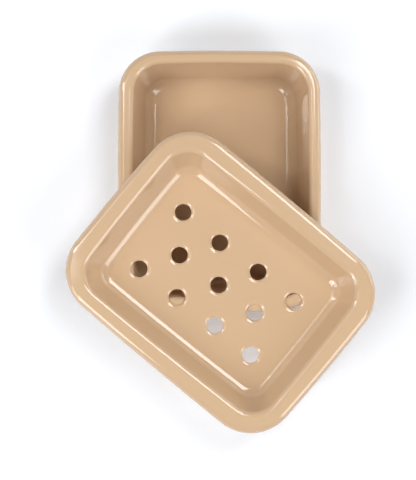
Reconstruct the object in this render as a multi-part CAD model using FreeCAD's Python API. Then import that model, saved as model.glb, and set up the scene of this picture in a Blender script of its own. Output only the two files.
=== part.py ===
import FreeCAD, Part
import math
import os

# Two-piece soap dish of pressed and enamelled sheet steel: a deep base tray that
# catches the water, and a shallow drainer tray with holes for the soap.
# Lengths are in millimetres and angles in degrees. Z is up, Y runs along the base
# tray, and the origin is the middle of the base tray's flat underside.
# Both trays are bent from one kind of sheet along one outline. A section of the
# sheet is drawn by its inset from the rim's edge and its height, then swept round.

# Sheet of both trays, steel with its enamel on both faces
SHEET = 1.2

# Outline of the base tray's rim, four corner arcs and four slightly bowed sides
BASE_LENGTH = 135.0
BASE_WIDTH = 105.0
SIDE_BOW = 0.4

# Turned-down rim that both trays have; a bend's radius is that of its inside face
RIM_SLOPE = 3.5
RIM_ROLL_RADIUS = 2.2
RIM_LIP_DROP = 1.8

# Base tray, from its underside up to the crest of its rim
BASE_HEIGHT = 31.0
BASE_RIM_FLAT = 1.4
BASE_BEND_RADIUS = 1.3
BASE_WALL_ANGLE = 78.0
BASE_FLOOR_RADIUS = 6.5
BASE_FLOOR_CORNER = 3.2

# Drainer tray: its rim reaches past the base's, and its bowl fits in the base
RIM_OVERHANG = 2.3
NEST_GAP = 0.5
DRAINER_DEPTH = 15.0
DRAINER_BEND_RADIUS = 1.8
DRAINER_WALL_ANGLE = 64.0
DRAINER_FLOOR_RADIUS = 6.0

# Drain holes in staggered rows, set in from the ends and sides of the flat floor
HOLES_IN_ROWS = (4, 3, 4)
HOLE_DIAMETER = 8.4
HOLE_LAND = 0.3
HOLE_EDGE_WIDTH = 1.0
HOLE_END_MARGIN = 12.2
HOLE_SIDE_MARGIN = 15.8
HOLE_PATTERN_SHIFT = -2.0
HOLE_PATTERN_TURN = 2.2

# Place of the drainer, laid flat across the base's rim and turned clockwise
DRAINER_TURN = 40.0
DRAINER_SETBACK = 15.7
DRAINER_SIDE_SHIFT = 0.4
REST_GAP = 0.05

UP = FreeCAD.Vector(0, 0, 1)
ORIGIN = FreeCAD.Vector(0, 0, 0)


def section_direction(angle):
    """Unit vector in the section plane, at an angle above the inward direction."""
    return FreeCAD.Vector(math.cos(math.radians(angle)), 0, math.sin(math.radians(angle)))


def plan_point(centre, radius, angle):
    """Point of an arc seen from above."""
    turn = math.radians(angle)
    return centre + FreeCAD.Vector(math.cos(turn), math.sin(turn), 0) * radius


class SheetSection:
    """Section of a bent sheet, drawn along its outer face from the lip inwards."""

    def __init__(self, start):
        self.here = start
        self.heading = 90.0
        self.outer_edges = []
        self.inner_edges = []

    def across(self):
        """Step through the sheet, from its outer face to its inner one."""
        return section_direction(self.heading - 90.0) * SHEET

    def straight(self, length):
        """Run straight on."""
        step = section_direction(self.heading) * length
        inner = self.here + self.across()
        self.outer_edges.append(Part.makeLine(self.here, self.here + step))
        self.inner_edges.append(Part.makeLine(inner, inner + step))
        self.here = self.here + step

    def bend(self, turn, inside_radius):
        """Bend by an angle, to the right where it is negative."""
        right = section_direction(self.heading - 90.0)
        if turn < 0:
            centre = self.here + right * (inside_radius + SHEET)
        else:
            centre = self.here - right * inside_radius
        outer = self.arc(centre, self.here, turn)
        inner = self.arc(centre, self.here + self.across(), turn)
        self.outer_edges.append(outer)
        self.inner_edges.append(inner)
        self.here = outer.valueAt(outer.LastParameter)
        self.heading += turn

    def arc(self, centre, start, turn):
        """Arc from a start point, turned about a centre."""
        axis = FreeCAD.Vector(0, -1, 0)
        arm = start - centre
        middle = centre + FreeCAD.Rotation(axis, turn / 2).multVec(arm)
        end = centre + FreeCAD.Rotation(axis, turn).multVec(arm)
        return Part.Arc(start, middle, end).toShape()

    def face(self):
        """Closed face, cut square at the lip and at the floor."""
        lip_outer = self.outer_edges[0].Vertexes[0].Point
        lip_inner = self.inner_edges[0].Vertexes[0].Point
        lip_end = Part.makeLine(lip_outer, lip_inner)
        floor_end = Part.makeLine(self.here, self.here + self.across())
        edges = self.outer_edges + [floor_end] + self.inner_edges + [lip_end]
        return Part.Face(Part.Wire(Part.__sortEdges__(edges)))


def crest_inset(rim_flat, bend_radius):
    """Inset of the rim's highest line, where it turns down into the bowl."""
    slope = math.radians(RIM_SLOPE)
    roll = (RIM_ROLL_RADIUS + SHEET) * (1 - math.sin(slope))
    return roll + rim_flat * math.cos(slope) + (bend_radius + SHEET) * math.sin(slope)


def tray_section(depth, rim_flat, bend_radius, wall_angle, floor_radius):
    """Section of a tray from lip to floor, with its crest at height 0."""
    slope = math.radians(RIM_SLOPE)
    wall = math.radians(wall_angle)
    roll_top = RIM_ROLL_RADIUS + SHEET
    bend_top = bend_radius + SHEET
    roll_centre_height = -bend_top * (1 - math.cos(slope)) - rim_flat * math.sin(slope)
    roll_centre_height -= roll_top * math.cos(slope)
    curved_drop = (bend_top + floor_radius) * (1 - math.cos(wall))
    wall_length = (depth - curved_drop) / math.sin(wall)

    section = SheetSection(FreeCAD.Vector(0, 0, roll_centre_height - RIM_LIP_DROP))
    section.straight(RIM_LIP_DROP)
    section.bend(RIM_SLOPE - 90.0, RIM_ROLL_RADIUS)
    section.straight(rim_flat)
    section.bend(-RIM_SLOPE - wall_angle, bend_radius)
    section.straight(wall_length)
    section.bend(wall_angle, floor_radius)
    return section


def outline_arcs(half_width, half_length, corner_radius):
    """Centre, radius and end angles of each of the outline's eight arcs."""
    corner_x = half_width - corner_radius - SIDE_BOW
    corner_y = half_length - corner_radius - SIDE_BOW
    long_radius = corner_radius + (corner_y ** 2 + SIDE_BOW ** 2) / (2 * SIDE_BOW)
    short_radius = corner_radius + (corner_x ** 2 + SIDE_BOW ** 2) / (2 * SIDE_BOW)
    long_half = math.degrees(math.asin(corner_y / (long_radius - corner_radius)))
    short_half = math.degrees(math.asin(corner_x / (short_radius - corner_radius)))

    arcs = []
    for side in (0, 180):
        away = 1 if side == 0 else -1
        long_centre = FreeCAD.Vector(away * (half_width - long_radius), 0, 0)
        short_centre = FreeCAD.Vector(0, away * (half_length - short_radius), 0)
        near_corner = FreeCAD.Vector(away * corner_x, away * corner_y, 0)
        far_corner = FreeCAD.Vector(-away * corner_x, away * corner_y, 0)
        arcs.append((long_centre, long_radius, side - long_half, side + long_half))
        arcs.append((near_corner, corner_radius, side + long_half, side + 90 - short_half))
        arcs.append((short_centre, short_radius, side + 90 - short_half, side + 90 + short_half))
        arcs.append((far_corner, corner_radius, side + 90 + short_half, side + 180 - long_half))
    return arcs


def swept_section(face, centre, radius, start, end):
    """Section revolved along one arc of the outline."""
    placed = face.mirror(ORIGIN, FreeCAD.Vector(1, 0, 0))
    placed.translate(FreeCAD.Vector(radius, 0, 0))
    placed.rotate(ORIGIN, UP, start)
    placed.translate(centre)
    return placed.revolve(centre, UP, end - start)


def floor_plate(arcs, inset, height):
    """Flat floor inside the bent sheet."""
    edges = []
    for centre, radius, start, end in arcs:
        points = [plan_point(centre, radius - inset, angle) for angle in (start, (start + end) / 2, end)]
        edges.append(Part.Arc(*points).toShape())
    face = Part.Face(Part.Wire(Part.__sortEdges__(edges)))
    face.translate(FreeCAD.Vector(0, 0, height))
    return face.extrude(FreeCAD.Vector(0, 0, SHEET))


def pressed_tray(section, arcs):
    """One pressed tray: the section all round, closed by the floor."""
    face = section.face()
    floor = floor_plate(arcs, section.here.x, section.here.z - SHEET)
    rim_and_walls = [swept_section(face, *arc) for arc in arcs]
    return floor.multiFuse(rim_and_walls).removeSplitter().Solids[0]


def hole_cutter():
    """Cutter for one drain hole, eased from the floor's top face down to a land."""
    radius = HOLE_DIAMETER / 2
    below = FreeCAD.Vector(radius, 0, -SHEET)
    land_top = FreeCAD.Vector(radius, 0, HOLE_LAND)
    brink = FreeCAD.Vector(radius + HOLE_EDGE_WIDTH, 0, SHEET)
    above = brink + UP * SHEET
    foot = FreeCAD.Vector(0, 0, below.z)
    head = FreeCAD.Vector(0, 0, above.z)
    profile = Part.makePolygon([foot, below, land_top, brink, above, head, foot])
    return Part.Face(profile).revolve(ORIGIN, UP, 360)


def hole_centres(floor_length, floor_width):
    """Centres of the drain holes, rows along the tray, as seen from above."""
    pitch = (floor_length - 2 * HOLE_END_MARGIN) / (max(HOLES_IN_ROWS) - 1)
    spacing = (floor_width - 2 * HOLE_SIDE_MARGIN) / (len(HOLES_IN_ROWS) - 1)
    turn = FreeCAD.Rotation(UP, HOLE_PATTERN_TURN)
    centres = []
    for row, count in enumerate(HOLES_IN_ROWS):
        across = (row - (len(HOLES_IN_ROWS) - 1) / 2) * spacing
        for place in range(count):
            along = (place - (count - 1) / 2) * pitch
            centre = turn.multVec(FreeCAD.Vector(across, along, 0))
            centres.append(centre + FreeCAD.Vector(HOLE_PATTERN_SHIFT, 0, 0))
    return centres


def base_tray(section, arcs):
    """Base tray, standing on its flat underside."""
    tray = pressed_tray(section, arcs)
    tray.translate(UP * BASE_HEIGHT)
    return tray


def drainer_tray(section, arcs):
    """Drainer tray in its own place, its floor's underside at height 0."""
    tray = pressed_tray(section, arcs)
    tray.translate(UP * (DRAINER_DEPTH + SHEET))
    inset = 2 * section.here.x
    floor_length = BASE_LENGTH + 2 * RIM_OVERHANG - inset
    floor_width = BASE_WIDTH + 2 * RIM_OVERHANG - inset
    cutter = hole_cutter()
    holes = [cutter.translated(centre) for centre in hole_centres(floor_length, floor_width)]
    return tray.cut(holes).Solids[0]


def laid_across(tray):
    """Drainer turned, and laid on the base's rim near its front end."""
    laid = tray.copy()
    laid.rotate(ORIGIN, UP, 90.0 - DRAINER_TURN)
    front = DRAINER_SETBACK - BASE_LENGTH / 2
    laid.translate(FreeCAD.Vector(DRAINER_SIDE_SHIFT, front, BASE_HEIGHT + REST_GAP))
    return laid


# Both sections; the drainer's flat rim is as wide as its bowl's fit in the base needs
base_section = tray_section(
    BASE_HEIGHT - SHEET, BASE_RIM_FLAT, BASE_BEND_RADIUS, BASE_WALL_ANGLE, BASE_FLOOR_RADIUS
)
drainer_wall = math.radians(DRAINER_WALL_ANGLE)
bend_step = BASE_BEND_RADIUS + SHEET - DRAINER_BEND_RADIUS
fit_inset = (NEST_GAP + bend_step * (1 - math.cos(drainer_wall))) / math.sin(drainer_wall)
base_crest = crest_inset(BASE_RIM_FLAT, BASE_BEND_RADIUS)
drainer_crest = base_crest + RIM_OVERHANG + fit_inset
drainer_rim_flat = drainer_crest - crest_inset(0, DRAINER_BEND_RADIUS)
drainer_rim_flat /= math.cos(math.radians(RIM_SLOPE))
drainer_section = tray_section(
    DRAINER_DEPTH, drainer_rim_flat, DRAINER_BEND_RADIUS, DRAINER_WALL_ANGLE, DRAINER_FLOOR_RADIUS
)

# One outline, with the drainer's edge all round outside the base's
base_corner = BASE_FLOOR_CORNER + base_section.here.x
base_arcs = outline_arcs(BASE_WIDTH / 2, BASE_LENGTH / 2, base_corner)
drainer_arcs = [(c, radius + RIM_OVERHANG, start, end) for c, radius, start, end in base_arcs]

parts = {
    "base_tray": base_tray(base_section, base_arcs),
    "drainer_tray": laid_across(drainer_tray(drainer_section, drainer_arcs)),
}

os.makedirs("parts", exist_ok=True)
for name, shape in parts.items():
    shape.exportStep("parts/" + name + ".step")
    box = shape.BoundBox
    print(name, shape.ShapeType, len(shape.Solids), "solid", shape.isValid(), "valid")
    print("  volume", round(shape.Volume, 1), "faces", len(shape.Faces))
    print("  x", round(box.XMin, 2), round(box.XMax, 2), "y", round(box.YMin, 2), round(box.YMax, 2))
    print("  z", round(box.ZMin, 2), round(box.ZMax, 2))
print("base: crest inset", round(base_crest, 2), "floor inset", round(base_section.here.x, 2))
print("drainer: crest inset", round(drainer_crest, 2), "floor inset", round(drainer_section.here.x, 2))
print("corner radius", round(base_corner, 2), round(base_corner + RIM_OVERHANG, 2))
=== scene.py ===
"""Looks of an enamelled steel soap dish: a deep base tray and a drainer tray laid across it.

Every length below is in millimetres, and the factor MM turns it to metres where it is used.
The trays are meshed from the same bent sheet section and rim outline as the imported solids.
"""

import logging
import math
from dataclasses import dataclass, field, replace
from enum import Enum

import bpy
from mathutils import Matrix, Vector, geometry, noise


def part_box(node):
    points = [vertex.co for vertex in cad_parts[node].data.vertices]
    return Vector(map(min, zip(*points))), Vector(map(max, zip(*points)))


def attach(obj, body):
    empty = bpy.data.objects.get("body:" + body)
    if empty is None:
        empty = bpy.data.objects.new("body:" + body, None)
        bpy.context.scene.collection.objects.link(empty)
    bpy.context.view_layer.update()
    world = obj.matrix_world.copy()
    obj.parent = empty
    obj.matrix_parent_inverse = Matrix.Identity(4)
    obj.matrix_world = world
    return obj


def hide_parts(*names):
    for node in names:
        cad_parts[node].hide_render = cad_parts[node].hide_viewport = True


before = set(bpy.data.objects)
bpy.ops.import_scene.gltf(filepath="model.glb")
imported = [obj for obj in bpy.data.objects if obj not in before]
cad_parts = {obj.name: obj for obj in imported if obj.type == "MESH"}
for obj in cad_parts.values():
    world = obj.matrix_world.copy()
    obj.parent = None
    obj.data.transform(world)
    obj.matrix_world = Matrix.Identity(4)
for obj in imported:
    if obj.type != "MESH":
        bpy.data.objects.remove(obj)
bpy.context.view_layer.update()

MM = 0.001
# The triangulation keeps what lies inside its outer edge, and joins points nearer than WELD
INSIDE_ONLY = 1
WELD = 1e-6
# The mix node's sockets share their names with those of its other kinds, so they go by number
MIX_FACTOR, MIX_FIRST, MIX_SECOND, MIX_COLOUR = 0, 6, 7, 2

log = logging.getLogger("soap_dish")


def linear(hex_colour: str) -> tuple[float, float, float, float]:
    """Turn an sRGB hex colour into the linear colour that shaders take.

    Args:
        hex_colour: Six hex digits after a hash sign.

    Returns:
        Red, green, blue and alpha, with alpha 1.
    """
    channels = []
    for start in (1, 3, 5):
        # The sRGB curve is a straight line near black and a power above it
        value = int(hex_colour[start:start + 2], 16) / 255
        low = value / 12.92
        high = ((value + 0.055) / 1.055) ** 2.4
        channels.append(low if value <= 0.04045 else high)
    return (channels[0], channels[1], channels[2], 1.0)


def ease(part: float) -> float:
    """Turn a share from 0 to 1 into one that starts and ends softly."""
    part = min(1.0, max(0.0, part))
    return part * part * (3 - 2 * part)


def add_node(
    tree: bpy.types.NodeTree,
    kind: str,
    settings: dict[str, object] | None = None,
    inputs: dict[str | int, object] | None = None,
) -> bpy.types.Node:
    """Add one node, with its settings and what goes into its sockets.

    Args:
        tree: Node tree that gets the node.
        kind: Blender's name of the node type.
        settings: Attributes of the node itself.
        inputs: Socket name or number to a value, or to the output socket that feeds it.

    Returns:
        The new node.
    """
    node = tree.nodes.new(kind)
    for name, value in (settings or {}).items():
        setattr(node, name, value)
    for name, value in (inputs or {}).items():
        if isinstance(value, bpy.types.NodeSocket):
            tree.links.new(value, node.inputs[name])
        else:
            node.inputs[name].default_value = value
    return node


def background_rays(tree: bpy.types.NodeTree) -> bpy.types.NodeSocket:
    """Tell apart the rays that show a background: seen plainly, in a gloss or through glass.

    Args:
        tree: Node tree that gets the nodes.

    Returns:
        A socket that is 1 for those rays and 0 for the rays that light things.
    """
    rays = add_node(tree, "ShaderNodeLightPath")
    seen = rays.outputs["Is Camera Ray"]
    for other in ("Is Glossy Ray", "Is Transmission Ray"):
        either = add_node(
            tree, "ShaderNodeMath", {"operation": "MAXIMUM"}, {0: seen, 1: rays.outputs[other]}
        )
        seen = either.outputs["Value"]
    return seen


class Side(Enum):
    """The two faces of the sheet at a tray's floor."""

    TOP = "top"
    UNDERSIDE = "underside"


@dataclass(frozen=True)
class VitreousEnamel:
    """Vitreous enamel, ground glass fired on to pressed steel.

    Its glass gives a hard clear gloss, its pigment an even tan under it, and the firing
    leaves a faint waviness that bends the edges of reflections.
    """

    name: str = "vitreous_enamel_fired"
    colour: str = "#D0B18F"
    warm_colour: str = "#D2B290"
    roughness: float = 0.07
    glass_ior: float = 1.6
    # The pigment settles in patches of 20 mm or so, with a finer drift inside them
    cloud_size: float = 22.0
    cloud_detail: float = 2.0
    # The fired glass ripples every 5 mm or so, by about a hundredth of a millimetre
    ripple_size: float = 5.0
    ripple_height: float = 0.012
    # Its grain is finer than 0.1 mm, too fine to show, and is drawn as coarse as it needs to
    grain_size: float = 0.5
    grain_height: float = 0.0012
    bump_detail: float = 1.0

    def material(self) -> bpy.types.Material:
        """Build the enamel.

        Returns:
            The material, with its pattern in the object's own coordinates.
        """
        material = bpy.data.materials.new(self.name)
        material.use_nodes = True
        tree = material.node_tree
        tree.nodes.clear()
        place = add_node(tree, "ShaderNodeTexCoord")
        clouds, ripple, grain = (
            add_node(
                tree, "ShaderNodeTexNoise", {},
                {"Vector": place.outputs["Object"], "Scale": 1 / (size * MM), "Detail": detail},
            )
            for size, detail in (
                (self.cloud_size, self.cloud_detail),
                (self.ripple_size, self.bump_detail),
                (self.grain_size, self.bump_detail),
            )
        )
        # The pigment settles unevenly, so the tan drifts a little from place to place
        tint = add_node(
            tree, "ShaderNodeMix", {"data_type": "RGBA"},
            {
                MIX_FACTOR: clouds.outputs["Fac"],
                MIX_FIRST: linear(self.colour),
                MIX_SECOND: linear(self.warm_colour),
            },
        )
        rippled = add_node(
            tree, "ShaderNodeBump", {},
            {"Height": ripple.outputs["Fac"], "Strength": 1.0, "Distance": self.ripple_height * MM},
        )
        grained = add_node(
            tree, "ShaderNodeBump", {},
            {
                "Height": grain.outputs["Fac"],
                "Strength": 1.0,
                "Distance": self.grain_height * MM,
                "Normal": rippled.outputs["Normal"],
            },
        )
        shader = add_node(
            tree, "ShaderNodeBsdfPrincipled", {},
            {
                "Base Color": tint.outputs[MIX_COLOUR],
                "Roughness": self.roughness,
                "IOR": self.glass_ior,
                "Normal": grained.outputs["Normal"],
            },
        )
        add_node(tree, "ShaderNodeOutputMaterial", {}, {"Surface": shader.outputs["BSDF"]})
        return material


@dataclass(frozen=True)
class SeamlessPaper:
    """White background paper, uncoated and matt.

    It takes the soft shadow of the dish. Its faint lift, in the background only, clips it to
    plain white away from the dish, and grows with the distance to far_lift.
    """

    name: str = "white_paper_matt"
    colour: str = "#F5F8FD"
    lift: float = 0.07
    far_lift: float = 1.0
    fade_from: float = 350.0
    fade_to: float = 1000.0

    def material(self) -> bpy.types.Material:
        """Build the paper.

        Returns:
            The material, which lights the dish only as its own white does.
        """
        material = bpy.data.materials.new(self.name)
        material.use_nodes = True
        tree = material.node_tree
        tree.nodes.clear()
        # Far from the dish, where no lamp reaches, the paper fades to plain white
        place = add_node(tree, "ShaderNodeNewGeometry")
        away = add_node(
            tree, "ShaderNodeVectorMath", {"operation": "LENGTH"}, {0: place.outputs["Position"]}
        )
        lift = add_node(
            tree, "ShaderNodeMapRange", {"interpolation_type": "SMOOTHSTEP"},
            {
                "Value": away.outputs["Value"],
                "From Min": self.fade_from * MM, "From Max": self.fade_to * MM,
                "To Min": self.lift, "To Max": self.far_lift,
            },
        )
        strength = add_node(
            tree, "ShaderNodeMath", {"operation": "MULTIPLY"},
            {0: background_rays(tree), 1: lift.outputs["Result"]},
        )
        paper = add_node(tree, "ShaderNodeBsdfDiffuse", {}, {"Color": linear(self.colour)})
        glow = add_node(
            tree, "ShaderNodeEmission", {},
            {"Color": linear(self.colour), "Strength": strength.outputs["Value"]},
        )
        both = add_node(
            tree, "ShaderNodeAddShader", {}, {0: paper.outputs["BSDF"], 1: glow.outputs["Emission"]}
        )
        add_node(tree, "ShaderNodeOutputMaterial", {}, {"Surface": both.outputs["Shader"]})
        return material


@dataclass(frozen=True)
class RimOutline:
    """Outline of the base tray's rim from above: four corner arcs, four bowed side arcs."""

    half_width: float
    half_length: float
    corner_radius: float
    bow: float
    corner_steps: int = 30
    side_steps: int = 26

    def side_arc(self, corner_offset: float) -> tuple[float, float]:
        """Radius and half angle of a side's arc, from its corner's offset along it."""
        rise = (corner_offset ** 2 + self.bow ** 2) / (2 * self.bow)
        return self.corner_radius + rise, math.asin(corner_offset / rise)

    def stations(self) -> list[tuple[Vector, float, float]]:
        """Walk round the outline.

        Returns:
            Arc centre, arc radius and angle of each station, counter-clockwise.
        """
        corner_x = self.half_width - self.corner_radius - self.bow
        corner_y = self.half_length - self.corner_radius - self.bow
        long_radius, long_half = self.side_arc(corner_y)
        short_radius, short_half = self.side_arc(corner_x)
        quarter = math.pi / 2
        stations = []
        for away, turn in ((1, 0.0), (-1, math.pi)):
            long_centre = Vector((away * (self.half_width - long_radius), 0))
            short_centre = Vector((0, away * (self.half_length - short_radius)))
            near = Vector((away * corner_x, away * corner_y))
            far = Vector((-away * corner_x, away * corner_y))
            arcs = (
                (long_centre, long_radius, turn - long_half, turn + long_half, self.side_steps),
                (near, self.corner_radius, turn + long_half, turn + quarter - short_half,
                 self.corner_steps),
                (short_centre, short_radius, turn + quarter - short_half,
                 turn + quarter + short_half, self.side_steps),
                (far, self.corner_radius, turn + quarter + short_half,
                 turn + 2 * quarter - long_half, self.corner_steps),
            )
            for centre, radius, start, end, steps in arcs:
                for step in range(steps):
                    stations.append((centre, radius, start + (end - start) * step / steps))
        return stations


@dataclass
class SheetSection:
    """Section of the bent sheet, walked along its outer face from the lip to the floor.

    Each point is an inset from the rim's edge and a height, with the step through the sheet.
    A run starts and ends with an edge step, which is at most the edge share of the run.
    """

    sheet: float
    degrees_a_step: float = 4.5
    fewest_steps: int = 2
    edge_step: float = 0.35
    edge_share: float = 0.25
    lip_steps: int = 10
    inset: float = 0.0
    height: float = 0.0
    heading: float = math.pi / 2
    points: list[tuple[float, float]] = field(default_factory=list)
    across: list[tuple[float, float]] = field(default_factory=list)

    def mark(self) -> None:
        """Keep the place and the step through the sheet."""
        self.points.append((self.inset, self.height))
        self.across.append((math.sin(self.heading), -math.cos(self.heading)))

    def straight(self, length: float, parts: int) -> None:
        """Run straight on, with a short step at each end that keeps the shading crisp.

        Args:
            length: Length of the run.
            parts: Number of steps between the two short ones.
        """
        short = min(self.edge_step, length * self.edge_share)
        middle = (length - 2 * short) / parts
        for step in [short] + [middle] * parts + [short]:
            self.inset += step * math.cos(self.heading)
            self.height += step * math.sin(self.heading)
            self.mark()

    def bend(self, turn: float, inside_radius: float) -> None:
        """Bend the sheet.

        Args:
            turn: Angle in degrees, to the right where it is negative.
            inside_radius: Radius of the face inside the bend.
        """
        steps = max(self.fewest_steps, round(abs(turn) / self.degrees_a_step))
        angle = math.radians(turn) / steps
        radius = inside_radius if turn > 0 else inside_radius + self.sheet
        chord = 2 * radius * math.sin(abs(angle) / 2)
        for _ in range(steps):
            self.inset += chord * math.cos(self.heading + angle / 2)
            self.height += chord * math.sin(self.heading + angle / 2)
            self.heading += angle
            self.mark()

    def loop(self) -> list[tuple[float, float]]:
        """Close the section round the sheet, with a half round at the lip's end.

        Returns:
            Points from the floor's top face out over the lip and back along the underside.
        """
        top = list(reversed(self.points))
        start, over = self.points[0], self.across[0]
        middle = (start[0] + over[0] * self.sheet / 2, start[1] + over[1] * self.sheet / 2)
        lip = []
        for step in range(1, self.lip_steps):
            angle = math.pi + math.pi * step / self.lip_steps
            lip.append((
                middle[0] + math.cos(angle) * self.sheet / 2,
                middle[1] + math.sin(angle) * self.sheet / 2,
            ))
        under = [
            (point[0] + over[0] * self.sheet, point[1] + over[1] * self.sheet)
            for point, over in zip(self.points, self.across)
        ]
        return top + lip + under


@dataclass
class TrayShape:
    """Mesh of one pressed tray, made in its own frame and set in place at the end.

    The bowl, turned and shifted in its rim, starts to go its own way where the rim's roll ends
    and goes all of it at the crest, and its corners spread wider from there to the floor. At
    a hole the enamel falls by the dish's depth over its reach, inside a low bead. The floor's
    loose points lie on a grid, and its shares are how clear they stay of sides, edge and holes.
    """

    name: str
    section: SheetSection
    outline: RimOutline
    overhang: float
    crest_height: float
    lowest: float
    to_place: Matrix
    rim_roll: float
    crest: float
    corner_spread: float
    bowl_turn: float = 0.0
    bowl_shift: tuple[float, float] = (0.0, 0.0)
    holes: list[tuple[float, float]] = field(default_factory=list)
    hole_radius: float = 0.0
    hole_steps: int = 48
    dish_reach: float = 2.4
    dish_depth: float = 0.85
    dish_steps: int = 12
    bead_width: float = 0.8
    bead_height: float = 0.02
    bead_steps: int = 4
    floor_grid: float = 5.0
    grid_side_share: float = 0.6
    grid_edge_share: float = 0.5
    grid_hole_share: float = 0.3
    edge_stride: int = 3
    wobble: float = 0.06
    wobble_size: float = 38.0
    wobble_seed: int = 1
    points: list[Vector] = field(default_factory=list)
    bowl_shares: list[float] = field(default_factory=list)
    faces: list[tuple[int, ...]] = field(default_factory=list)

    def add(self, x: float, y: float, height: float, share: float = 1.0) -> int:
        """Add a point.

        Args:
            x: Place across the tray.
            y: Place along the tray.
            height: Height above the paper.
            share: How far the point goes with the bowl, from 0 at the rim's edge to 1.

        Returns:
            The point's number.
        """
        self.points.append(Vector((x, y, height)))
        self.bowl_shares.append(share)
        return len(self.points) - 1

    def ring(self, inset: float, height: float) -> list[int]:
        """Add one closed row of points round the tray.

        Args:
            inset: Inset from the rim's edge.
            height: Height above the paper.

        Returns:
            The numbers of the points.
        """
        share = ease((inset - self.rim_roll) / (self.crest - self.rim_roll))
        deep = ease((inset - self.crest) / (self.section.inset - self.crest))
        spread = self.corner_spread * deep
        outline = replace(self.outline, corner_radius=self.outline.corner_radius + spread)
        row = []
        for centre, radius, angle in outline.stations():
            reach = radius + self.overhang - inset
            x = centre.x + reach * math.cos(angle)
            y = centre.y + reach * math.sin(angle)
            row.append(self.add(x, y, height, share))
        return row

    def bridge(self, first: list[int], second: list[int]) -> None:
        """Close the strip between two rows of equally many points.

        Args:
            first: Point numbers of one row.
            second: Point numbers of the other row.
        """
        count = len(first)
        for i in range(count):
            after = (i + 1) % count
            self.faces.append((first[i], first[after], second[after], second[i]))

    def hole_profile(self) -> list[tuple[float, float]]:
        """Section of a hole's edge.

        The enamel is drawn down into the hole in a wide soft curve, above a punched edge
        that is nearly square, and it stands a hair proud where it starts to fall.

        Returns:
            Reach past the hole's wall and depth under the floor's top face, top face first.
        """
        sheet, low = self.section.sheet, self.section.sheet - self.dish_depth
        profile = [(self.hole_margin(), 0.0)]
        for step in range(1, self.bead_steps + 1):
            part = step / self.bead_steps
            reach = self.hole_margin() - part * (self.hole_margin() - self.dish_reach)
            profile.append((reach, -self.bead_height * math.sin(math.pi * part) ** 2))
        for step in range(1, self.dish_steps + 1):
            angle = math.pi / 2 * step / self.dish_steps
            profile.append((
                self.dish_reach * (1 - math.sin(angle)), self.dish_depth * (1 - math.cos(angle)),
            ))
        for step in range(1, self.bead_steps + 1):
            angle = math.pi / 2 * step / self.bead_steps
            profile.append((low * (1 - math.cos(angle)), sheet - low * (1 - math.sin(angle))))
        profile.append((self.hole_margin(), sheet))
        return profile

    def hole_margin(self) -> float:
        """Reach of a hole's outermost row past the hole's wall."""
        return self.dish_reach + self.bead_width

    def hole(self, centre: tuple[float, float], top: float) -> tuple[list[int], list[int]]:
        """Build the soft edge of one hole.

        Args:
            centre: Centre of the hole.
            top: Height of the floor's top face.

        Returns:
            The edge's outermost rows on the top face and on the underside.
        """
        rows = []
        for reach, depth in self.hole_profile():
            row = []
            for step in range(self.hole_steps):
                angle = 2 * math.pi * step / self.hole_steps
                radius = self.hole_radius + reach
                x = centre[0] + radius * math.cos(angle)
                y = centre[1] + radius * math.sin(angle)
                row.append(self.add(x, y, top - depth))
            rows.append(row)
        for first_row, second_row in zip(rows, rows[1:]):
            self.bridge(first_row, second_row)
        return rows[0], rows[-1]

    def floor(self, edge: list[int], hole_rows: list[list[int]], side: Side) -> None:
        """Fill the flat floor on one face, leaving the holes open.

        Args:
            edge: Point numbers of the row round the floor.
            hole_rows: Point numbers of the row round each hole.
            side: The face of the sheet that is filled.
        """
        rows = [edge] + hole_rows
        known = [number for row in rows for number in row]
        height = self.points[edge[0]].z
        flat = [self.points[number].to_2d() for number in known]
        edges = []
        start = 0
        for row in rows:
            for i in range(len(row)):
                edges.append((start + i, start + (i + 1) % len(row)))
            start += len(row)
        flat += self.floor_points(edge, height, known)
        found, _, triangles, origins, _, _ = geometry.delaunay_2d_cdt(
            flat, edges, [], INSIDE_ONLY, WELD
        )
        numbers = [known[origin[0]] for origin in origins]
        clear = self.hole_radius + self.dish_reach
        for triangle in triangles:
            middle = sum((found[i] for i in triangle), Vector((0, 0))) / 3
            if any((middle - Vector(centre)).length < clear for centre in self.holes):
                continue
            face = tuple(numbers[i] for i in triangle)
            self.faces.append(face if side is Side.TOP else face[::-1])

    def floor_points(self, edge: list[int], height: float, known: list[int]) -> list[Vector]:
        """Strew points over the floor, so that it can wobble between its edge and its holes.

        Args:
            edge: Point numbers of the row round the floor.
            height: Height of the face that is filled.
            known: Point numbers of the face so far, which gets the new ones.

        Returns:
            The new points seen from above.
        """
        margin = self.floor_grid * self.grid_side_share
        reach_x = max(self.points[number].x for number in edge) - margin
        reach_y = max(self.points[number].y for number in edge) - margin
        columns = int(reach_x / self.floor_grid)
        rows = int(reach_y / self.floor_grid)
        # The edge's points lie close together, so every few of them tell how near it is
        border = [self.points[number].to_2d() for number in edge[::self.edge_stride]]
        off_edge = self.floor_grid * self.grid_edge_share
        clear = self.hole_radius + self.hole_margin() + self.floor_grid * self.grid_hole_share
        loose = []
        for column in range(-columns, columns + 1):
            for row in range(-rows, rows + 1):
                spot = Vector((column * self.floor_grid, row * self.floor_grid))
                near_hole = any((spot - Vector(centre)).length < clear for centre in self.holes)
                near_edge = any((spot - point).length < off_edge for point in border)
                if near_hole or near_edge:
                    continue
                known.append(self.add(spot.x, spot.y, height))
                loose.append(spot)
        return loose

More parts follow.
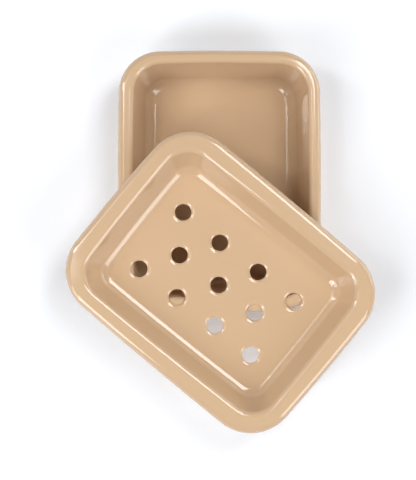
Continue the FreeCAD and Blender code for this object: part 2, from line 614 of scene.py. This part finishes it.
    def place(self) -> list[Vector]:
        """Points in metres in the shared frame.

        The bowl is pressed a little askew in its rim, and the sheet wobbles faintly.

        Returns:
            The points, in their order.
        """
        noise.seed_set(self.wobble_seed)
        placed = []
        shift = Vector((self.bowl_shift[0], self.bowl_shift[1], 0))
        for point, share in zip(self.points, self.bowl_shares):
            turn = Matrix.Rotation(math.radians(self.bowl_turn) * share, 3, "Z")
            here = self.to_place @ (turn @ point + shift * share)
            drift = noise.noise_vector(here / self.wobble_size) * self.wobble
            here += Vector((drift.x * share, drift.y * share, drift.z))
            here.z = min(max(here.z, self.lowest), self.crest_height)
            placed.append(here * MM)
        return placed

    def mesh(self) -> bpy.types.Mesh:
        """Build the tray's mesh.

        Returns:
            The closed mesh, with its points in metres.
        """
        rows = [
            self.ring(inset, height + self.crest_height) for inset, height in self.section.loop()
        ]
        for first_row, second_row in zip(rows, rows[1:]):
            self.bridge(second_row, first_row)
        top_height = self.points[rows[0][0]].z
        hole_rows = [self.hole(centre, top_height) for centre in self.holes]
        self.floor(rows[0], [row[0] for row in hole_rows], Side.TOP)
        self.floor(rows[-1], [row[1] for row in hole_rows], Side.UNDERSIDE)
        mesh = bpy.data.meshes.new(self.name)
        mesh.from_pydata(self.place(), [], self.faces)
        mesh.validate()
        return mesh


@dataclass
class PressedTray:
    """What both trays share: the sheet, the rolled rim, and how a tray becomes a piece.

    The lip's drop stops above its half round end, which is half the sheet's thickness more.
    The floor lead is the short flat run past the wall's last bend, where the floor begins.
    The parts are the steps that each straight run is divided into.
    """

    sheet: float = 1.2
    rim_slope: float = 3.5
    rim_roll_radius: float = 2.2
    rim_lip_drop: float = 1.2
    floor_lead: float = 0.7
    lip_parts: int = 1
    flat_parts: int = 2
    wall_parts: int = 6
    lead_parts: int = 1

    def roll_radius(self) -> float:
        """Outer radius of the rim's roll."""
        return self.rim_roll_radius + self.sheet

    def crest_inset(self, rim_flat: float, bend_radius: float) -> float:
        """Inset of a rim's highest line.

        Args:
            rim_flat: Width of the rim's flat.
            bend_radius: Inside radius from the rim to the wall.

        Returns:
            The inset from the rim's edge.
        """
        slope = math.radians(self.rim_slope)
        roll = self.roll_radius() * (1 - math.sin(slope))
        return roll + rim_flat * math.cos(slope) + (bend_radius + self.sheet) * math.sin(slope)

    def pressed_section(
        self,
        depth: float,
        rim_flat: float,
        bend_radius: float,
        wall_angle: float,
        floor_radius: float,
    ) -> SheetSection:
        """Section of one tray, its crest at height 0.

        Args:
            depth: From the crest down to the floor's top face.
            rim_flat: Width of the rim's flat.
            bend_radius: Inside radius from the rim to the wall.
            wall_angle: Wall's angle to the floor, in degrees.
            floor_radius: Inside radius from the wall to the floor.

        Returns:
            The section, walked from the lip to the start of the flat floor.
        """
        slope = math.radians(self.rim_slope)
        wall = math.radians(wall_angle)
        bend_top = bend_radius + self.sheet
        start = -bend_top * (1 - math.cos(slope)) - rim_flat * math.sin(slope)
        start -= self.roll_radius() * math.cos(slope) + self.rim_lip_drop
        curved_drop = (bend_top + floor_radius) * (1 - math.cos(wall))
        section = SheetSection(sheet=self.sheet, height=start)
        section.mark()
        section.straight(self.rim_lip_drop, self.lip_parts)
        section.bend(self.rim_slope - 90.0, self.rim_roll_radius)
        section.straight(rim_flat, self.flat_parts)
        section.bend(-self.rim_slope - wall_angle, bend_radius)
        section.straight((depth - curved_drop) / math.sin(wall), self.wall_parts)
        section.bend(wall_angle, floor_radius)
        section.straight(self.floor_lead, self.lead_parts)
        return section

    def piece(self, shape: TrayShape, node: str, enamel: bpy.types.Material) -> bpy.types.Object:
        """Turn a tray's mesh into a piece that stands for its node.

        Args:
            shape: The tray.
            node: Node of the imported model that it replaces.
            enamel: Its finish.

        Returns:
            The piece, riding on the one body.
        """
        mesh = shape.mesh()
        mesh.shade_smooth()
        mesh.materials.append(enamel)
        tray = bpy.data.objects.new(shape.name, mesh)
        bpy.context.scene.collection.objects.link(tray)
        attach(tray, "root")
        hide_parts(node)
        return tray


@dataclass
class BaseTray(PressedTray):
    """The deep lower tray, which catches the water.

    Its floor's corners are pressed wider than its rim's, and its bowl sits a little askew.
    """

    side_bow: float = 0.4
    rim_flat: float = 1.4
    bend_radius: float = 1.3
    wall_angle: float = 78.0
    floor_radius: float = 6.5
    floor_corner: float = 3.2
    corner_spread: float = 5.0
    bowl_shift: tuple[float, float] = (0.75, 0.4)
    half_width: float = field(init=False)
    half_length: float = field(init=False)
    height: float = field(init=False)

    def __post_init__(self) -> None:
        """Read the tray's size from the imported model."""
        low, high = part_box("base_tray")
        self.half_width = (high.x - low.x) / 2 / MM
        self.half_length = (high.y - low.y) / 2 / MM
        self.height = high.z / MM

    def section(self) -> SheetSection:
        """Section of the base tray."""
        return self.pressed_section(
            self.height - self.sheet, self.rim_flat, self.bend_radius,
            self.wall_angle, self.floor_radius,
        )

    def crest(self) -> float:
        """Inset of the base's crest."""
        return self.crest_inset(self.rim_flat, self.bend_radius)

    def outline(self) -> RimOutline:
        """Outline of the rim, its corners set by the floor's."""
        corner = self.floor_corner + self.section().inset - self.floor_lead
        return RimOutline(self.half_width, self.half_length, corner, self.side_bow)

    def build(self, enamel: bpy.types.Material) -> bpy.types.Object:
        """Build and dress the base tray.

        Args:
            enamel: Its finish.

        Returns:
            The piece.
        """
        shape = TrayShape(
            name="base_tray_enamelled",
            section=self.section(),
            outline=self.outline(),
            overhang=0.0,
            crest_height=self.height,
            lowest=0.0,
            to_place=Matrix.Identity(4),
            rim_roll=self.roll_radius(),
            crest=self.crest(),
            corner_spread=self.corner_spread,
            bowl_shift=self.bowl_shift,
        )
        return self.piece(shape, "base_tray", enamel)


@dataclass
class DrainerTray(PressedTray):
    """The shallow upper tray with its drain holes, turned on the base's rim.

    Its holes were set by hand: the nudge moves them all, and each slip is how far one strays
    from its place in its row. Its turn is the angle between its length and the base's width,
    and its setback is how far its middle lies behind the base's front edge.
    """

    base: BaseTray = field(default_factory=BaseTray)
    rim_overhang: float = 2.3
    nest_gap: float = 0.5
    depth: float = 15.0
    bend_radius: float = 1.8
    wall_angle: float = 64.0
    floor_radius: float = 6.0
    corner_spread: float = 4.0
    bowl_turn: float = 1.2
    holes_in_rows: tuple[int, ...] = (4, 3, 4)
    hole_diameter: float = 8.4
    hole_end_margin: float = 12.2
    hole_side_margin: float = 15.8
    hole_pattern_shift: float = -2.0
    hole_pattern_turn: float = 2.2
    hole_nudge: tuple[float, float] = (-0.1, 0.35)
    hole_slips: dict[tuple[int, int], tuple[float, float]] = field(default_factory=lambda: {
        (0, 0): (-0.2, 0.9), (0, 1): (0.6, 0.3), (0, 3): (-0.3, -0.1),
        (1, 0): (0.3, 0.25), (1, 1): (0.2, -0.9),
        (2, 0): (-0.8, 0.2), (2, 1): (-0.1, -0.6), (2, 2): (-0.3, -0.25), (2, 3): (0.55, -0.15),
    })
    turn: float = 40.0
    setback: float = 15.7
    side_shift: float = 0.4
    ground: float = field(init=False)
    crest_height: float = field(init=False)

    def __post_init__(self) -> None:
        """Read the tray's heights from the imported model."""
        low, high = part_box("drainer_tray")
        self.ground = low.z / MM
        self.crest_height = high.z / MM

    def crest(self) -> float:
        """Inset of the drainer's crest, from its bowl's fit in the base.

        Returns:
            The inset from the drainer's own rim's edge.
        """
        wall = math.radians(self.wall_angle)
        step = self.base.bend_radius + self.sheet - self.bend_radius
        fit = (self.nest_gap + step * (1 - math.cos(wall))) / math.sin(wall)
        return self.base.crest() + self.rim_overhang + fit

    def section(self) -> SheetSection:
        """Section of the drainer tray.

        Returns:
            The section, its flat rim as wide as its bowl's fit needs.
        """
        rim_flat = self.crest() - self.crest_inset(0, self.bend_radius)
        rim_flat /= math.cos(math.radians(self.rim_slope))
        return self.pressed_section(
            self.depth, rim_flat, self.bend_radius, self.wall_angle, self.floor_radius
        )

    def hole_centres(self, floor_inset: float) -> list[tuple[float, float]]:
        """Centres of the drain holes.

        Args:
            floor_inset: Inset of the flat floor's edge from the rim's edge.

        Returns:
            The centres in the drainer's own frame, row by row.
        """
        length = 2 * (self.base.half_length + self.rim_overhang - floor_inset)
        width = 2 * (self.base.half_width + self.rim_overhang - floor_inset)
        pitch = (length - 2 * self.hole_end_margin) / (max(self.holes_in_rows) - 1)
        spacing = (width - 2 * self.hole_side_margin) / (len(self.holes_in_rows) - 1)
        # The bowl takes its holes with it when it turns, so its turn comes off theirs here
        turn = Matrix.Rotation(math.radians(self.hole_pattern_turn - self.bowl_turn), 2)
        centres = []
        for row, count in enumerate(self.holes_in_rows):
            across = (row - (len(self.holes_in_rows) - 1) / 2) * spacing
            for place in range(count):
                along = (place - (count - 1) / 2) * pitch
                centre = turn @ Vector((across, along))
                slip = Vector(self.hole_slips.get((row, place), (0.0, 0.0)))
                centre += Vector(self.hole_nudge) + slip
                centres.append((centre.x + self.hole_pattern_shift, centre.y))
        return centres

    def to_place(self) -> Matrix:
        """Turn and move from the drainer's own frame to where it lies on the base.

        Returns:
            The transform, in millimetres.
        """
        front = self.setback - self.base.half_length
        place = Matrix.Translation((self.side_shift, front, 0))
        return place @ Matrix.Rotation(math.radians(90 - self.turn), 4, "Z")

    def build(self, enamel: bpy.types.Material) -> bpy.types.Object:
        """Build and dress the drainer tray.

        Args:
            enamel: Its finish.

        Returns:
            The piece.
        """
        section = self.section()
        shape = TrayShape(
            name="drainer_tray_enamelled",
            section=section,
            outline=self.base.outline(),
            overhang=self.rim_overhang,
            crest_height=self.crest_height,
            lowest=self.ground,
            to_place=self.to_place(),
            rim_roll=self.roll_radius(),
            crest=self.crest(),
            corner_spread=self.corner_spread,
            bowl_turn=self.bowl_turn,
            holes=self.hole_centres(section.inset - self.floor_lead),
            hole_radius=self.hole_diameter / 2,
        )
        return self.piece(shape, "drainer_tray", enamel)


@dataclass(frozen=True)
class SoftBox:
    """One studio light with a diffusing front, which faces the dish.

    Its width runs level and its height leans with its tilt from the vertical. Its brightness
    is what a mirror would show of its front, where 1 is white.
    """

    name: str
    azimuth: float
    tilt: float
    width: float
    height: float
    brightness: float
    distance: float = 1000.0

    def build(self, aim: Vector) -> None:
        """Hang the light.

        Args:
            aim: Point that the light faces, in metres.
        """
        turn, lean = math.radians(self.azimuth), math.radians(self.tilt)
        away = Vector((
            math.cos(turn) * math.sin(lean), math.sin(turn) * math.sin(lean), math.cos(lean),
        ))
        lamp = bpy.data.lights.new(self.name, "AREA")
        lamp.shape = "RECTANGLE"
        lamp.size = self.width * MM
        lamp.size_y = self.height * MM
        lamp.energy = self.brightness * math.pi * lamp.size * lamp.size_y
        light = bpy.data.objects.new(self.name, lamp)
        side = Vector((-math.sin(turn), math.cos(turn), 0))
        facing = Matrix((side, away.cross(side), away)).transposed()
        light.matrix_world = Matrix.Translation(aim + away * self.distance * MM) @ facing.to_4x4()
        bpy.context.scene.collection.objects.link(light)


@dataclass
class Studio:
    """White paper, soft boxes and the camera straight above.

    The sky is the room's faint even light. As a background alone the room is white near the
    horizon and fades to the sky from white_up_to to dark_from, both sines of the elevation.
    """

    camera_height: float = 786.0
    camera_x: float = -5.9
    camera_y: float = -30.45
    lens: float = 110.0
    sensor: float = 36.0
    paper_reach: float = 3000.0
    room_colour: str = "#FFFFFF"
    sky: float = 0.02
    white_up_to: float = 0.2
    dark_from: float = 0.45
    aim_y: float = -30.0
    aim_height: float = 30.0

    def build(self) -> None:
        """Set up the stage."""
        self.paper()
        self.sky_light()
        self.lights()
        self.camera()

    def paper(self) -> None:
        """Lay the paper that the dish stands on."""
        reach = self.paper_reach * MM
        corners = [(-reach, -reach, 0), (reach, -reach, 0), (reach, reach, 0), (-reach, reach, 0)]
        mesh = bpy.data.meshes.new("paper")
        mesh.from_pydata(corners, [], [(0, 1, 2, 3)])
        mesh.materials.append(SeamlessPaper().material())
        paper = bpy.data.objects.new("paper", mesh)
        bpy.context.scene.collection.objects.link(paper)

    def sky_light(self) -> None:
        """Light the room evenly and faintly, and show it white above the paper's far edge."""
        world = bpy.data.worlds.new("room")
        world.use_nodes = True
        tree = world.node_tree
        tree.nodes.clear()
        way = add_node(tree, "ShaderNodeTexCoord")
        parts = add_node(tree, "ShaderNodeSeparateXYZ", {}, {0: way.outputs["Generated"]})
        band = add_node(
            tree, "ShaderNodeMapRange", {"interpolation_type": "SMOOTHSTEP"},
            {
                "Value": parts.outputs["Z"],
                "From Min": self.white_up_to, "From Max": self.dark_from,
                "To Min": 1.0, "To Max": self.sky,
            },
        )
        strength = add_node(
            tree, "ShaderNodeMath", {"operation": "MULTIPLY"},
            {0: background_rays(tree), 1: band.outputs["Result"]},
        )
        at_least = add_node(
            tree, "ShaderNodeMath", {"operation": "MAXIMUM"},
            {0: strength.outputs["Value"], 1: self.sky},
        )
        room = add_node(
            tree, "ShaderNodeBackground", {},
            {"Color": linear(self.room_colour), "Strength": at_least.outputs["Value"]},
        )
        add_node(tree, "ShaderNodeOutputWorld", {}, {"Surface": room.outputs["Background"]})
        bpy.context.scene.world = world

    def lights(self) -> None:
        """Hang the soft boxes whose reflections run along the bends."""
        aim = Vector((0, self.aim_y, self.aim_height)) * MM
        # Name, azimuth and tilt in degrees, width and height, brightness
        boxes = (
            SoftBox("back_right_strip", 47.0, 30.0, 260.0, 560.0, 8.7),
            SoftBox("front_left_strip", 223.0, 43.0, 200.0, 720.0, 6.9),
            SoftBox("front_right_box", 321.0, 50.0, 340.0, 720.0, 5.0),
            SoftBox("back_left_strip", 157.0, 43.0, 120.0, 600.0, 9.5),
            SoftBox("left_box", 211.0, 58.0, 300.0, 500.0, 4.9),
            SoftBox("top_left_box", 165.0, 22.0, 400.0, 240.0, 2.6),
            SoftBox("low_right_box", 25.0, 78.0, 700.0, 300.0, 3.2),
        )
        for box in boxes:
            box.build(aim)

    def camera(self) -> None:
        """Hang the camera above the dish, looking straight down."""
        data = bpy.data.cameras.new("camera")
        data.lens = self.lens
        data.sensor_width = self.sensor
        camera = bpy.data.objects.new("camera", data)
        camera.location = Vector((self.camera_x, self.camera_y, self.camera_height)) * MM
        bpy.context.scene.collection.objects.link(camera)
        bpy.context.scene.camera = camera


def main() -> None:
    """Build the dish and its studio."""
    logging.basicConfig(level=logging.INFO)
    bpy.context.scene.view_settings.view_transform = "Standard"
    enamel = VitreousEnamel().material()
    base = BaseTray()
    for tray in (base, DrainerTray(base=base)):
        piece = tray.build(enamel)
        points, faces = len(piece.data.vertices), len(piece.data.polygons)
        log.info("%s: %d points, %d faces", piece.name, points, faces)
    Studio().build()


if __name__ == "__main__":
    main()
